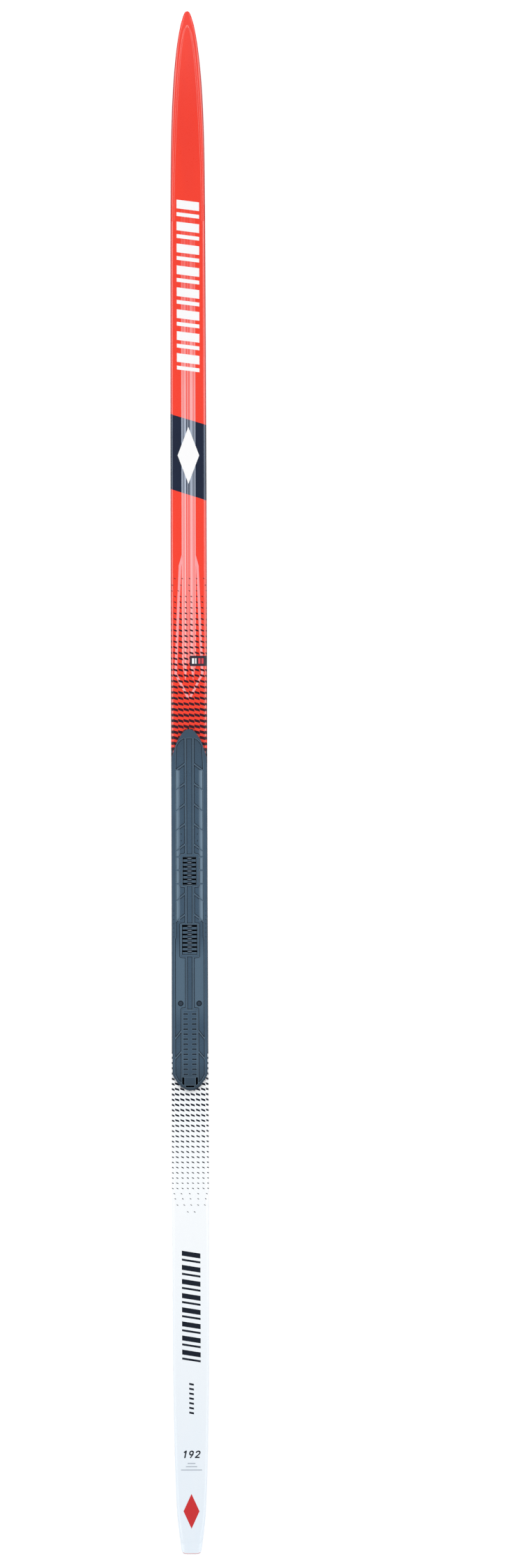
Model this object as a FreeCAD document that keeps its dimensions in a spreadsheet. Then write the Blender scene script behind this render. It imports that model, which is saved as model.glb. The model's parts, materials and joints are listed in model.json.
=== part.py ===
import FreeCAD, Part
import math
import os
import Sketcher

Vec = FreeCAD.Vector

# Cross country skating ski with a bare binding plate.
# Frame: +Y towards the tip, +X across, +Z up. Origin: centre of the footprint,
# at the level of the snow. Millimetres.

doc = FreeCAD.newDocument("cross_country_ski")

# ---------------------------------------------------------------- dimensions
sheet = doc.addObject("Spreadsheet::Sheet", "dims")
TABLE = [
    # overall length and side profile of the running surface
    ("ski_length", 1920.0),
    ("tail_rise", 6.0),
    ("tail_run", 60.0),
    ("rear_contact_len", 40.0),
    ("camber_height", 24.0),
    ("stiff_zone_rear", -410.0),
    ("stiff_zone_front", 95.0),
    ("front_contact_from", 770.0),
    ("front_contact_to", 800.0),
    ("tip_rise", 32.0),
    # thickness of the laminated body
    ("thick_middle", 24.0),
    ("thick_contact", 8.0),
    ("thick_tail_loss", 1.6),
    ("thick_tip_loss", 2.8),
    # layers, from the snow upwards
    ("base_thick", 1.2),
    ("ply_biax_thick", 0.4),
    ("ply_ud_thick", 0.4),
    ("topsheet_thick", 0.8),
    ("emboss_rise", 0.3),
    # shaping
    ("edge_bevel_width", 1.2),
    ("edge_bevel_drop", 0.6),
    ("sidewall_width", 2.4),
    ("groove_width", 4.0),
    ("groove_depth", 0.7),
    ("groove_rear", -870.0),
    ("groove_front", 745.0),
    ("tip_insert_from", 868.0),
    ("tail_insert_to", -935.0),
    ("binding_block_rear", -420.0),
    ("binding_block_front", 105.0),
    # plan outline
    ("nose_radius", 3.8),
    ("nose_angle", 24.4),
    ("tail_corner_radius", 3.5),
    ("tail_half_width", 11.86),
    # binding plate
    ("bond_film_thick", 0.3),
    ("plate_half_width", 21.75),
    ("plate_foot_half", 19.6),
    ("plate_foot_height", 2.0),
    ("plate_deck_height", 2.4),
    ("plate_bevel", 0.45),
    ("ladder_block_height", 0.4),
    ("plate_nose_y", 67.3),
    ("plate_rear_y", -381.8),
    ("panel_depth", 1.1),
    ("panel_outer", 17.1),
    ("panel_inner", 5.7),
    ("rib_width", 2.0),
    ("rib_lean", 8.7),
    ("rail_half", 3.6),
    ("rail_depth", 0.5),
    ("ladder_pitch", 5.2),
    ("ladder_slot_len", 2.6),
    ("ladder_depth", 0.7),
    ("ladder_slot_depth", 2.6),
    ("ladder_front_half", 8.7),
    ("ladder_rear_half", 9.6),
    ("ladder_pad_half", 3.1),
    ("rack_pitch", 6.24),
    ("rack_slot_len", 2.0),
    ("rack_half", 8.3),
    ("rack_neck_half", 2.6),
    ("rack_depth", 0.4),
    ("rack_slot_depth", 1.7),
]
for row, (alias, value) in enumerate(TABLE, start=1):
    sheet.set("A%d" % row, alias)
    sheet.set("B%d" % row, repr(value))
    sheet.setAlias("B%d" % row, alias)
doc.recompute()


def D(alias):
    return float(getattr(sheet, alias))


def bind(obj, prop, expr):
    obj.setExpression(prop, expr)


HALF = D("ski_length") / 2.0

# ---------------------------------------------------------------- profiles
# Stations of the side profile, tail to tip. Between two stations every curve
# is a cubic in Y, so all layers share the same shape at different heights.
Y_TAIL = -HALF
Y_RC0 = -HALF + D("tail_run")
Y_RC1 = Y_RC0 + D("rear_contact_len")
Y_S0 = D("stiff_zone_rear")
Y_S1 = D("stiff_zone_front")
Y_FC0 = D("front_contact_from")
Y_FC1 = D("front_contact_to")
Y_TIP = HALF
STATIONS = [Y_TAIL, Y_RC0, Y_RC1, Y_S0, Y_S1, Y_FC0, Y_FC1, Y_TIP]
BASE_Z = [D("tail_rise"), 0.0, 0.0, D("camber_height"), D("camber_height"), 0.0, 0.0, D("tip_rise")]
TC = D("thick_contact")
TOP_Z = [
    D("tail_rise") + TC - D("thick_tail_loss"),
    TC,
    TC,
    D("camber_height") + D("thick_middle"),
    D("camber_height") + D("thick_middle"),
    TC,
    TC,
    D("tip_rise") + TC - D("thick_tip_loss"),
]
Z_DECK = TOP_Z[3]


def segment(i, zs, shift):
    """Edge curve of the profile between station i and i+1, raised by shift."""
    y0, y1 = STATIONS[i], STATIONS[i + 1]
    z0, z1 = zs[i] + shift, zs[i + 1] + shift
    if abs(z0 - z1) < 1e-9:
        return Part.LineSegment(Vec(y0, z0, 0), Vec(y1, z1, 0))
    third = (y1 - y0) / 3.0
    if i == 0:
        # the tail turns up as a parabola that is level at the contact end
        poles = [Vec(y0, z0, 0), Vec(y0 + third, z1 + (z0 - z1) / 3.0, 0), Vec(y1 - third, z1, 0), Vec(y1, z1, 0)]
    elif i == len(STATIONS) - 2:
        poles = [Vec(y0, z0, 0), Vec(y0 + third, z0, 0), Vec(y1 - third, z0 + (z1 - z0) / 3.0, 0), Vec(y1, z1, 0)]
    else:
        poles = [Vec(y0, z0, 0), Vec(y0 + third, z0, 0), Vec(y1 - third, z1, 0), Vec(y1, z1, 0)]
    curve = Part.BSplineCurve()
    curve.buildFromPolesMultsKnots(poles, [4, 4], [0.0, 1.0], False, 3)
    return curve


def band(sk, low, low_shift, high, high_shift, first=0, last=None):
    """Closed strip of the side view between two profile curves."""
    last = len(STATIONS) - 2 if last is None else last
    for i in range(first, last + 1):
        sk.addGeometry(segment(i, low, low_shift), False)
        sk.addGeometry(segment(i, high, high_shift), False)
    ya, yb = STATIONS[first], STATIONS[last + 1]
    sk.addGeometry(Part.LineSegment(Vec(ya, low[first] + low_shift, 0), Vec(ya, high[first] + high_shift, 0)), False)
    sk.addGeometry(Part.LineSegment(Vec(yb, low[last + 1] + low_shift, 0), Vec(yb, high[last + 1] + high_shift, 0)), False)


# Half widths along the ski: (Y, half width)
WIDTHS = [
    (-943.9, 13.85),
    (-918.8, 17.05),
    (-897.2, 18.55),
    (-862.5, 19.95),
    (-827.9, 20.95),
    (-797.6, 21.5),
    (-758.6, 22.15),
    (-715.3, 22.5),
    (-628.7, 22.72),
    (-520.0, 22.86),
    (-412.0, 22.82),
    (-280.0, 22.55),
    (-152.0, 22.35),
    (0.0, 22.32),
    (150.7, 22.42),
    (280.6, 22.38),
    (410.5, 22.25),
    (540.4, 21.98),
    (627.0, 21.8),
    (704.9, 21.56),
    (756.9, 21.2),
    (791.5, 20.76),
    (826.2, 19.83),
    (857.4, 18.42),
    (883.4, 16.6),
    (902.4, 14.75),
    (916.3, 13.05),
    (928.4, 11.2),
    (938.8, 9.25),
    (945.7, 7.62),
    (951.8, 5.75),
]
NOSE_C = HALF - D("nose_radius")
A = math.radians(D("nose_angle"))
NOSE_PT = (D("nose_radius") * math.cos(A), NOSE_C + D("nose_radius") * math.sin(A))
NOSE_DIR = (-math.sin(A), math.cos(A))
R_T = D("tail_corner_radius")
SIDE = (0.135, 1.0)
S_LEN = math.hypot(*SIDE)
SIDE = (SIDE[0] / S_LEN, SIDE[1] / S_LEN)
TAIL_NORMAL = (SIDE[1], -SIDE[0])
TAIL_C = (D("tail_half_width") - R_T * TAIL_NORMAL[0], -HALF + R_T)
TAIL_PT = (TAIL_C[0] + R_T * TAIL_NORMAL[0], TAIL_C[1] + R_T * TAIL_NORMAL[1])


def side_curve(sign):
    """Edge of the ski in plan, from the tail corner to the rounded nose."""
    pts = [Vec(sign * TAIL_PT[0], TAIL_PT[1], 0)]
    pts += [Vec(sign * w, y, 0) for y, w in WIDTHS]
    pts += [Vec(sign * NOSE_PT[0], NOSE_PT[1], 0)]
    curve = Part.BSplineCurve()
    curve.interpolate(
        Points=pts,
        InitialTangent=Vec(sign * SIDE[0], SIDE[1], 0),
        FinalTangent=Vec(sign * NOSE_DIR[0], NOSE_DIR[1], 0),
    )
    return curve


def outline(sk):
    sk.addGeometry(side_curve(1), False)
    sk.addGeometry(side_curve(-1), False)
    circle = Part.Circle(Vec(0, NOSE_C, 0), Vec(0, 0, 1), D("nose_radius"))
    sk.addGeometry(Part.ArcOfCircle(circle, A, math.pi - A), False)
    tilt = math.atan2(TAIL_NORMAL[1], TAIL_NORMAL[0])
    right = Part.Circle(Vec(TAIL_C[0], TAIL_C[1], 0), Vec(0, 0, 1), R_T)
    left = Part.Circle(Vec(-TAIL_C[0], TAIL_C[1], 0), Vec(0, 0, 1), R_T)
    sk.addGeometry(Part.ArcOfCircle(right, -math.pi / 2, tilt), False)
    sk.addGeometry(Part.ArcOfCircle(left, math.pi - tilt, 1.5 * math.pi), False)
    sk.addGeometry(Part.LineSegment(Vec(-TAIL_C[0], -HALF, 0), Vec(TAIL_C[0], -HALF, 0)), False)


# Raised centre panel of the topsheet: a pointed arch near the tip that opens
# into two long lines just inside the edges.
EMBOSS = [
    (-946.0, 10.4),
    (-918.8, 14.4),
    (-897.2, 16.1),
    (-862.5, 17.6),
    (-797.6, 19.2),
    (-715.3, 20.2),
    (-520.0, 20.55),
    (-280.0, 20.25),
    (0.0, 20.0),
    (280.6, 20.05),
    (540.4, 19.65),
    (704.9, 19.0),
    (772.0, 17.9),
    (818.0, 15.9),
    (860.0, 13.5),
    (896.0, 10.6),
    (920.0, 7.5),
    (936.0, 4.2),
]
EMBOSS_TIP = 943.5


def emboss_curve(sign):
    pts = [Vec(sign * w, y, 0) for y, w in EMBOSS] + [Vec(0, EMBOSS_TIP, 0)]
    curve = Part.BSplineCurve()
    curve.interpolate(Points=pts)
    return curve


def rectangle_lines(x0, y0, x1, y1):
    c = [Vec(x0, y0, 0), Vec(x1, y0, 0), Vec(x1, y1, 0), Vec(x0, y1, 0)]
    return [Part.LineSegment(c[i], c[(i + 1) % 4]) for i in range(4)]


def add_loop(sk, pts):
    vs = [Vec(x, y, 0) for x, y in pts]
    for i in range(len(vs)):
        sk.addGeometry(Part.LineSegment(vs[i], vs[(i + 1) % len(vs)]), False)


# ---------------------------------------------------------------- helpers
def new_body(name, label=None):
    body = doc.addObject("PartDesign::Body", name)
    body.Label = label or name
    return body


def new_sketch(body, name, role):
    sk = body.newObject("Sketcher::SketchObject", name)
    plane = [f for f in body.Origin.OriginFeatures if f.Role == role][0]
    sk.AttachmentSupport = [(plane, "")]
    sk.MapMode = "FlatFace"
    return sk


def centred_rect(sk, width_expr, length_expr):
    """Rectangle centred on the sketch origin with bound width and length."""
    lines = rectangle_lines(-5, -5, 5, 5)
    ids = [sk.addGeometry(g, False) for g in lines]
    for i in range(4):
        sk.addConstraint(Sketcher.Constraint("Coincident", ids[i], 2, ids[(i + 1) % 4], 1))
    sk.addConstraint(Sketcher.Constraint("Horizontal", ids[0]))
    sk.addConstraint(Sketcher.Constraint("Horizontal", ids[2]))
    sk.addConstraint(Sketcher.Constraint("Vertical", ids[1]))
    sk.addConstraint(Sketcher.Constraint("Vertical", ids[3]))
    sk.addConstraint(Sketcher.Constraint("Symmetric", ids[0], 1, ids[1], 2, -1, 1))
    a = sk.addConstraint(Sketcher.Constraint("DistanceX", ids[0], 1, ids[0], 2, 10.0))
    b = sk.addConstraint(Sketcher.Constraint("DistanceY", ids[1], 1, ids[1], 2, 10.0))
    sk.renameConstraint(a, "width")
    sk.renameConstraint(b, "length")
    bind(sk, "Constraints.width", width_expr)
    bind(sk, "Constraints.length", length_expr)


def place(sk, x=None, y=None, z=None):
    if x:
        bind(sk, ".AttachmentOffset.Base.x", x)
    if y:
        bind(sk, ".AttachmentOffset.Base.y", y)
    if z:
        bind(sk, ".AttachmentOffset.Base.z", z)


def pad(body, sk, name, length_expr, symmetric=False, reverse=False):
    f = body.newObject("PartDesign::Pad", name)
    f.Profile = sk
    if symmetric:
        f.SideType = "Symmetric"
    f.Reversed = reverse
    bind(f, "Length", length_expr)
    sk.Visibility = False
    return f


def pocket(body, sk, name, length_expr, symmetric=False, reverse=False):
    f = body.newObject("PartDesign::Pocket", name)
    f.Profile = sk
    if symmetric:
        f.SideType = "Symmetric"
    f.Reversed = reverse
    bind(f, "Length", length_expr)
    sk.Visibility = False
    return f


def strip_body(name, low, low_shift, high, high_shift, first=0, last=None):
    """Layer blank: the side view strip pressed out across the ski."""
    body = new_body(name)
    sk = new_sketch(body, name + "_side", "YZ_Plane")
    band(sk, low, low_shift, high, high_shift, first, last)
    pad(body, sk, name + "_pad", "2 * dims.plate_half_width + 20", symmetric=True)
    return body


def layer_body(name, low, low_shift, high, high_shift):
    """One full-length layer: the side view strip, trimmed to the plan outline."""
    body = strip_body(name, low, low_shift, high, high_shift)
    sk = new_sketch(body, name + "_plan", "XY_Plane")
    outline(sk)
    for g in rectangle_lines(-60, -HALF - 60, 60, HALF + 60):
        sk.addGeometry(g, False)
    pocket(body, sk, name + "_trim", "300", symmetric=True)
    return body


def common(label, shapes):
    f = doc.addObject("Part::MultiCommon", label)
    f.Label = label
    f.Shapes = shapes
    return f


# ---------------------------------------------------------------- plan prisms
EDGE = side_curve(1)
E0, E1 = EDGE.FirstParameter, EDGE.LastParameter
SAMPLES = [EDGE.value(E0 + (E1 - E0) * t / 900.0) for t in range(901)]


def half_width(y):
    for a, b in zip(SAMPLES, SAMPLES[1:]):
        if a.y <= y <= b.y:
            k = (y - a.y) / (b.y - a.y)
            return a.x + k * (b.x - a.x)
    raise ValueError(y)


Y_IN0 = D("tail_insert_to")
Y_IN1 = D("tip_insert_from")
INSET_YS = [Y_IN0, -915.0, -890.0, -850.0, -800.0, -750.0, -690.0, -600.0, -500.0, -412.0, -280.0, -150.0, 0.0,
            150.0, 280.0, 410.0, 540.0, 620.0, 690.0, 740.0, 780.0, 812.0, 840.0, Y_IN1]


def inset_curve(sign, y_from, y_to):
    """Line between core and sidewall: the plan outline moved inwards."""
    pts = [Vec(sign * (half_width(y) - D("sidewall_width")), y, 0) for y in INSET_YS]
    curve = Part.BSplineCurve()
    curve.interpolate(Points=pts)
    t0 = curve.parameter(Vec(sign * (half_width(y_from) - D("sidewall_width")), y_from, 0))
    t1 = curve.parameter(Vec(sign * (half_width(y_to) - D("sidewall_width")), y_to, 0))
    if y_from > INSET_YS[0] or y_to < INSET_YS[-1]:
        curve.segment(min(t0, t1), max(t0, t1))
    return curve


def prism(name, geometry):
    body = new_body(name)
    sk = new_sketch(body, name + "_plan", "XY_Plane")
    for g in geometry:
        sk.addGeometry(g, False)
    pad(body, sk, name + "_pad", "400", symmetric=True)
    return body


def core_prism(name, y_from, y_to):
    right = inset_curve(1, y_from, y_to)
    left = inset_curve(-1, y_from, y_to)
    r0, r1 = right.value(right.FirstParameter), right.value(right.LastParameter)
    l0, l1 = left.value(left.FirstParameter), left.value(left.LastParameter)
    return prism(name, [right, left, Part.LineSegment(l0, r0), Part.LineSegment(l1, r1)])


def wall_prism(name, sign):
    inner = inset_curve(sign, Y_IN0, Y_IN1)
    p0, p1 = inner.value(inner.FirstParameter), inner.value(inner.LastParameter)
    q0, q1 = Vec(sign * 40, p0.y, 0), Vec(sign * 40, p1.y, 0)
    return prism(name, [inner, Part.LineSegment(p0, q0), Part.LineSegment(q0, q1), Part.LineSegment(q1, p1)])


# ---------------------------------------------------------------- laminate
Z1 = D("base_thick")
Z2 = Z1 + D("ply_biax_thick")
Z3 = Z2 + D("ply_ud_thick")
T1 = -D("topsheet_thick")
T2 = T1 - D("ply_ud_thick")
T3 = T2 - D("ply_biax_thick")

core_strip = strip_body("core_strip", BASE_Z, Z3, TOP_Z, T3)
tip_prism = prism("tip_prism", rectangle_lines(-60, Y_IN1, 60, HALF + 40))
tail_prism = prism("tail_prism", rectangle_lines(-60, -HALF - 40, 60, Y_IN0))
front_prism = core_prism("front_prism", D("binding_block_front"), Y_IN1)
block_prism = core_prism("block_prism", D("binding_block_rear"), D("binding_block_front"))
rear_prism = core_prism("rear_prism", Y_IN0, D("binding_block_rear"))
right_prism = wall_prism("right_prism", 1)
left_prism = wall_prism("left_prism", -1)

outline_prism = new_body("outline_prism")
sk = new_sketch(outline_prism, "outline_plan", "XY_Plane")
outline(sk)
pad(outline_prism, sk, "outline_pad", "400", symmetric=True)
doc.recompute()
AREA = outline_prism.Shape.Volume / 400.0

NODES = []
EXPECTED = {}

# running surface with the guide groove pressed along its middle
running_base = layer_body("running_base", BASE_Z, 0.0, BASE_Z, Z1)
sk = new_sketch(running_base, "groove_side", "YZ_Plane")
band(sk, BASE_Z, -1.0, BASE_Z, D("groove_depth"), first=1, last=4)
pocket(running_base, sk, "guide_groove", "dims.groove_width", symmetric=True)
NODES.append(running_base)
EXPECTED["running_base"] = AREA * Z1 - (Y_FC0 - Y_RC0) * D("groove_width") * D("groove_depth")

NODES.append(layer_body("lower_biax_ply", BASE_Z, Z1, BASE_Z, Z2))
NODES.append(layer_body("lower_unidirectional_ply", BASE_Z, Z2, BASE_Z, Z3))
NODES.append(common("core_front", [core_strip, front_prism]))
NODES.append(common("core_binding_block", [core_strip, block_prism]))
NODES.append(common("core_rear", [core_strip, rear_prism]))
NODES.append(common("sidewall_left", [outline_prism, core_strip, left_prism]))
NODES.append(common("sidewall_right", [outline_prism, core_strip, right_prism]))
NODES.append(common("tip_insert", [outline_prism, core_strip, tip_prism]))
NODES.append(common("tail_insert", [outline_prism, core_strip, tail_prism]))
NODES.append(layer_body("upper_biax_ply", TOP_Z, T3, TOP_Z, T2))
NODES.append(layer_body("upper_unidirectional_ply", TOP_Z, T2, TOP_Z, T1))
EXPECTED["lower_biax_ply"] = EXPECTED["upper_biax_ply"] = AREA * D("ply_biax_thick")
EXPECTED["lower_unidirectional_ply"] = EXPECTED["upper_unidirectional_ply"] = AREA * D("ply_ud_thick")

# topsheet: bevelled along its edge, with a raised centre panel
film = layer_body("topsheet_film", TOP_Z, T1, TOP_Z, 0.0)
doc.recompute()
trimmed = film.Tip
full = trimmed.Shape.copy()
edge_names = []
for n, e in enumerate(full.Edges, start=1):
    mid = e.valueAt((e.FirstParameter + e.LastParameter) / 2.0)
    faces = full.ancestorsOfType(e, Part.Face)
    normals = []
    for f in faces:
        u, v = f.Surface.parameter(mid)
        normals.append(f.normalAt(u, v).z)
    upright = [abs(nz) < 0.05 for nz in normals]
    if sum(upright) == 1 and [nz for nz, up in zip(normals, upright) if not up][0] > 0.5:
        edge_names.append("Edge%d" % n)
bevel = film.newObject("PartDesign::Chamfer", "edge_bevel")
bevel.Base = (trimmed, edge_names)
bevel.ChamferType = "Two distances"
bind(bevel, "Size", "dims.edge_bevel_drop")
bind(bevel, "Size2", "dims.edge_bevel_width")

emboss = new_body("emboss_panel")
sk = new_sketch(emboss, "emboss_side", "YZ_Plane")
band(sk, TOP_Z, -0.2, TOP_Z, D("emboss_rise"))
pad(emboss, sk, "emboss_pad", "2 * dims.plate_half_width + 20", symmetric=True)
sk = new_sketch(emboss, "emboss_plan", "XY_Plane")
sk.addGeometry(emboss_curve(1), False)
sk.addGeometry(emboss_curve(-1), False)
e0 = EMBOSS[0]
sk.addGeometry(Part.LineSegment(Vec(-e0[1], e0[0], 0), Vec(e0[1], e0[0], 0)), False)
for g in rectangle_lines(-60, -HALF - 60, 60, HALF + 60):
    sk.addGeometry(g, False)
pocket(emboss, sk, "emboss_trim", "300", symmetric=True)
topsheet = doc.addObject("Part::MultiFuse", "topsheet")
topsheet.Label = "topsheet"
topsheet.Shapes = [film, emboss]
NODES.append(topsheet)
doc.recompute()
EXPECTED["topsheet"] = film.Shape.Volume + emboss.Shape.Volume * D("emboss_rise") / (D("emboss_rise") + 0.2)
print("film", film.Shape.Volume, "of", AREA * D("topsheet_thick"), "emboss", emboss.Shape.Volume, "expected topsheet", EXPECTED["topsheet"])
doc.recompute()

# ---------------------------------------------------------------- binding plate
SEAT = "(dims.camber_height + dims.thick_middle + dims.emboss_rise)"
PLATE_BOTTOM = SEAT + " + dims.bond_film_thick"
DECK_BOTTOM = PLATE_BOTTOM + " + dims.plate_foot_height"
DECK_TOP = DECK_BOTTOM + " + dims.plate_deck_height"
W = D("plate_half_width")
NOSE = [(W, 32.3), (19.92, 38.1), (18.27, 43.3), (17.06, 46.8), (14.98, 52.2), (10.83, 59.2), (6.67, 64.5)]
REAR = [(W, -361.1), (20.5, -364.4), (17.4, -369.4), (13.86, -374.1), (9.53, -377.8), (4.6, -380.7)]


def plate_outline(sk, inset):
    """Bullet nose, straight sides, rounded rear; inset moves it inwards."""
    k = (W - inset) / W
    nose = [(x * k, y - inset if y > 45 else y - 0.6 * inset) for x, y in NOSE]
    rear = [(x * k, y + inset if y < -372 else y + 0.6 * inset) for x, y in REAR]
    tip = (0.0, D("plate_nose_y") - inset)
    end = (0.0, D("plate_rear_y") + inset)
    front_pts = [Vec(x, y, 0) for x, y in nose] + [Vec(tip[0], tip[1], 0)] + [Vec(-x, y, 0) for x, y in reversed(nose)]
    rear_pts = [Vec(x, y, 0) for x, y in rear] + [Vec(end[0], end[1], 0)] + [Vec(-x, y, 0) for x, y in reversed(rear)]
    front = Part.BSplineCurve()
    front.interpolate(Points=front_pts)
    back = Part.BSplineCurve()
    back.interpolate(Points=rear_pts)
    sk.addGeometry(front, False)
    sk.addGeometry(back, False)
    sk.addGeometry(Part.LineSegment(rear_pts[0], front_pts[0]), False)
    sk.addGeometry(Part.LineSegment(rear_pts[-1], front_pts[-1]), False)


film_body = new_body("plate_bond_film")
sk = new_sketch(film_body, "bond_plan", "XY_Plane")
place(sk, z=SEAT)
plate_outline(sk, W - D("plate_foot_half") + 0.4)
pad(film_body, sk, "bond_pad", "dims.bond_film_thick")
NODES.append(film_body)

plate = new_body("binding_plate")
sk = new_sketch(plate, "foot_plan", "XY_Plane")
place(sk, z=PLATE_BOTTOM)
plate_outline(sk, W - D("plate_foot_half"))
pad(plate, sk, "foot_pad", "dims.plate_foot_height")
sk = new_sketch(plate, "deck_plan", "XY_Plane")
place(sk, z=DECK_BOTTOM)
plate_outline(sk, 0.0)
deck_pad = pad(plate, sk, "deck_pad", "dims.plate_deck_height")
doc.recompute()
top = max(e.BoundBox.ZMax for e in deck_pad.Shape.Edges)
rim_edges = ["Edge%d" % (i + 1) for i, e in enumerate(deck_pad.Shape.Edges) if e.BoundBox.ZMin > top - 0.01]
bevel = plate.newObject("PartDesign::Chamfer", "deck_bevel")
bevel.Base = (deck_pad, rim_edges)
bind(bevel, "Size", "dims.plate_bevel")
plate.Tip = bevel

# recessed side panels between slanted ribs
RW = D("rib_width") / 2.0
PO = D("panel_outer")
PI = D("panel_inner")
RIBS = [(15.7, 24.2), (-8.3, -0.5), (-34.6, -26.0), (-58.9, -50.5), (-84.5, -76.0)]
RIBS_B = [(-146.4, -137.1), (-171.5, -163.1)]
RIBS_C = [(-317.3, -307.6), (-342.1, -333.2)]
LF = 10.9
LR = 11.9
PO2 = 18.3
RK = 10.5
PANELS = [
    # inside the nose
    [(6.7, 56.0), (10.0, 54.2), (13.3, 51.0), (15.4, 47.2), (16.1, 44.5), (16.4, 41.0), (16.5, 38.0),
     (PO, 15.7 + RW), (PI, 24.2 + RW), (PI, 55.8)],
]
for (a_out, a_in), (b_out, b_in) in zip(RIBS, RIBS[1:]):
    PANELS.append([(PI, a_in - RW), (PO, a_out - RW), (PO, b_out + RW), (PI, b_in + RW)])
PANELS += [
    # around the front ladder
    [(PI, RIBS[4][1] - RW), (PO, RIBS[4][0] - RW), (PO, -90.4), (LF + 0.6, -90.4), (LF + 0.6, -88.2), (PI, -87.0)],
    [(LF + 0.6, -92.4), (PO, -92.4), (PO, -106.9), (LF + 0.6, -106.9)],
    [(LF + 0.6, -108.9), (PO, -108.9), (PO, -123.7), (LF + 0.6, -123.7)],
    [(LF + 0.6, -125.7), (PO, -125.7), (PO, RIBS_B[0][0] + RW), (PI, RIBS_B[0][1] + RW), (PI, -129.2), (LF + 0.6, -128.3)],
    [(PI, RIBS_B[0][1] - RW), (PO, RIBS_B[0][0] - RW), (PO, RIBS_B[1][0] + RW), (PI, RIBS_B[1][1] + RW)],
    # around the rear ladder and along the long rear rail
    [(PI, RIBS_B[1][1] - RW), (PO, RIBS_B[1][0] - RW), (PO, -191.0), (PO2, -194.0), (PO2, RIBS_C[0][0] + RW),
     (RK, RIBS_C[0][1] + RW), (RK, -279.6), (5.0, -278.6), (5.0, -216.6), (LR, -215.6), (LR, -174.5), (PI, -173.0)],
    [(RK, RIBS_C[0][1] - RW), (PO2, RIBS_C[0][0] - RW), (PO2, RIBS_C[1][0] + RW), (RK, RIBS_C[1][1] + RW)],
    [(RK, RIBS_C[1][1] - RW), (PO2, RIBS_C[1][0] - RW), (PO2, -361.5), (14.6, -368.4), (RK, -371.9)],
]
sk = new_sketch(plate, "panel_plan", "XY_Plane")
place(sk, z=DECK_TOP)
for loop in PANELS:
    add_loop(sk, loop)
    add_loop(sk, [(-x, y) for x, y in loop])
pocket(plate, sk, "side_panels", "dims.panel_depth")

# sloped facets along the outer third of the front panels
sk = new_sketch(plate, "facet_side", "XZ_Plane")
FL = D("camber_height") + D("thick_middle") + D("emboss_rise") + D("bond_film_thick") + D("plate_foot_height") + D("plate_deck_height") - D("panel_depth")
for sign in (1, -1):
    add_loop(sk, [(sign * 12.0, FL - 0.3), (sign * 16.5, FL - 0.3), (sign * 16.5, FL + 0.75), (sign * 16.0, FL + 0.8), (sign * 12.0, FL)])
sk.AttachmentOffset = FreeCAD.Placement(Vec(0, 0, -16.4), FreeCAD.Rotation())
f = pad(plate, sk, "panel_facets", "186.8")

# channel along the centre rail
sk = new_sketch(plate, "rail_plan", "XY_Plane")
place(sk, z=DECK_TOP)
R = D("rail_half")
add_loop(sk, [(-R, 56.0), (R, 56.0), (R, -88.2), (-R, -88.2)])
add_loop(sk, [(-R, -127.0), (R, -127.0), (R, -174.0), (-R, -174.0)])
add_loop(sk, [(-R + 0.3, -215.0), (R - 0.3, -215.0), (R - 0.3, -281.0), (-R + 0.3, -281.0)])
pocket(plate, sk, "rail_channel", "dims.rail_depth")

# fields of the two ladders and of the rear rack
sk = new_sketch(plate, "ladder_plan", "XY_Plane")
place(sk, z=DECK_TOP)
HF, HR, HK = D("ladder_front_half"), D("ladder_rear_half"), D("rack_half")
add_loop(sk, [(-HF, -91.0), (HF, -91.0), (HF, -126.9), (-HF, -126.9)])
add_loop(sk, [(-HR, -175.4), (HR, -175.4), (HR, -212.8), (-HR, -212.8)])
pocket(plate, sk, "ladder_fields", "dims.ladder_depth")
sk = new_sketch(plate, "rack_plan", "XY_Plane")
place(sk, z=DECK_TOP)
add_loop(sk, [(-HK, -282.0), (HK, -282.0), (HK, -364.6), (-HK, -364.6)])
pocket(plate, sk, "rack_field", "dims.rack_depth")


def slot_row(name, half, pad_half, first_y, pitch, length_alias, depth, count):
    """A pair of slots left and right of a centre pad, repeated along Y."""
    sk = new_sketch(plate, name + "_plan", "XY_Plane")
    place(sk, z=DECK_TOP)
    ln = D(length_alias) / 2.0
    for sign in (1, -1):
        add_loop(sk, [(sign * pad_half, first_y + ln), (sign * half, first_y + ln), (sign * half, first_y - ln), (sign * pad_half, first_y - ln)])
    cut = pocket(plate, sk, name + "_slot", depth)
    pattern = plate.newObject("PartDesign::LinearPattern", name + "_slots")
    pattern.Originals = [cut]
    pattern.Direction = (sk, ["V_Axis"])
    pattern.Reversed = True
    pattern.Mode = "Spacing"
    bind(pattern, "Offset", pitch)
    pattern.Occurrences = count
    plate.Tip = pattern
    return pattern


slot_row("ladder_front", HF, D("ladder_pad_half"), -93.3, "dims.ladder_pitch", "ladder_slot_len", "dims.ladder_slot_depth", 7)
slot_row("ladder_rear", HR, D("ladder_pad_half"), -177.4, "dims.ladder_pitch", "ladder_slot_len", "dims.ladder_slot_depth", 7)

# small blocks standing between the slots of each pair
sk = new_sketch(plate, "block_plan", "XY_Plane")
place(sk, z=DECK_TOP + " - dims.ladder_depth - 0.2")
for first_y in (-93.3, -177.4):
    for i in range(7):
        y = first_y - i * D("ladder_pitch")
        add_loop(sk, [(-2.6, y - 1.15), (2.6, y - 1.15), (2.6, y + 1.15), (-2.6, y + 1.15)])
pad(plate, sk, "ladder_blocks", "dims.ladder_block_height + 0.2")
slot_row("rack", HK - 0.3, D("rack_neck_half"), -286.6, "dims.rack_pitch", "rack_slot_len", "dims.rack_slot_depth", 13)

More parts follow.
